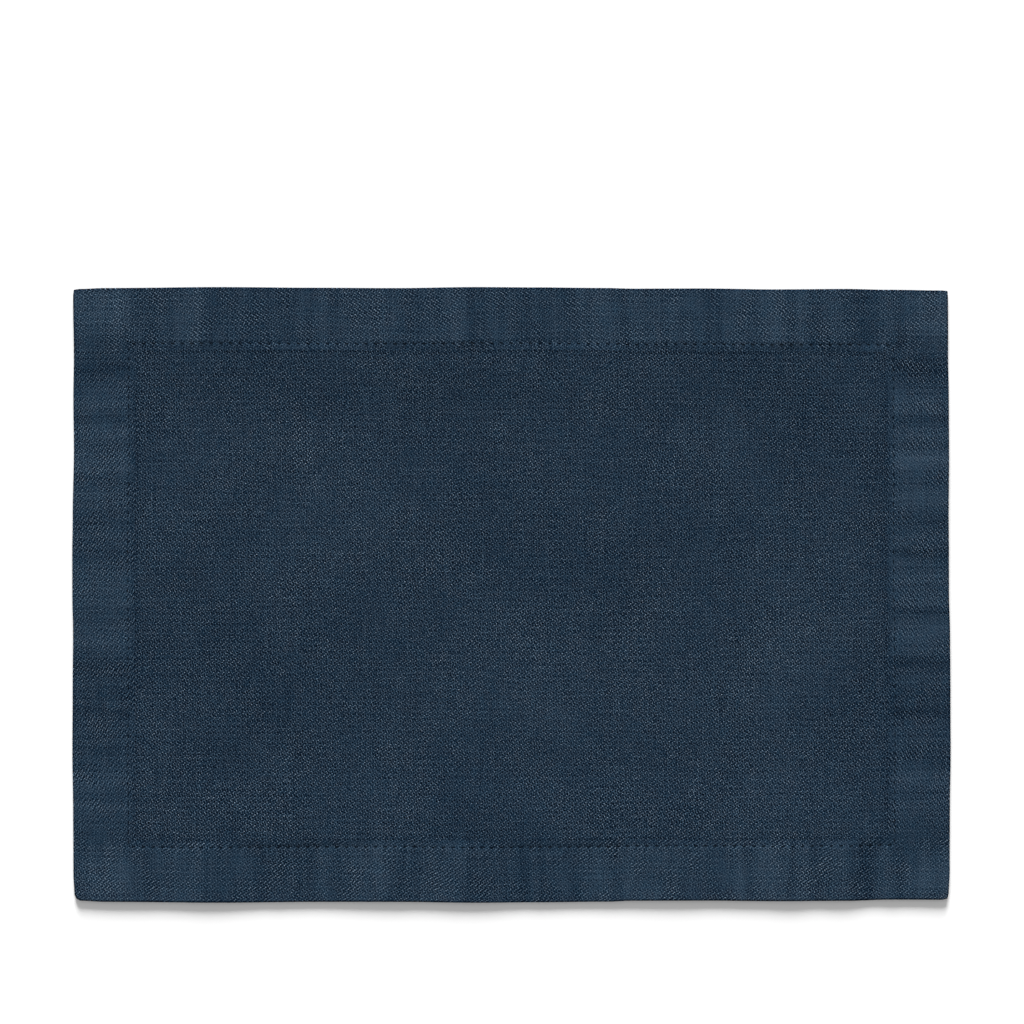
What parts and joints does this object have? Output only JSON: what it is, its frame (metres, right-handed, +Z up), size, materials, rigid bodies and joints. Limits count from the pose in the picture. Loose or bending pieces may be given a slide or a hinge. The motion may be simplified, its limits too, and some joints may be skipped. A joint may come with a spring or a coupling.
{
  "type": "fabric placemat",
  "caption": "Rectangular woven cloth table mat, lying flat, with a wide stitched hem all round.",
  "frame": {"origin": "middle of the underside, on the surface that the mat lies on", "axes": "+X along the long side, +Y along the short side, +Z up out of the right side of the cloth"},
  "size_m": [0.5094, 0.357, 0.0028],
  "materials": {
    "cloth": "matte dark slate blue broken twill weave"
  },
  "bodies": {
    "root": {"placemat": "cloth"}
  },
  "joints": []
}
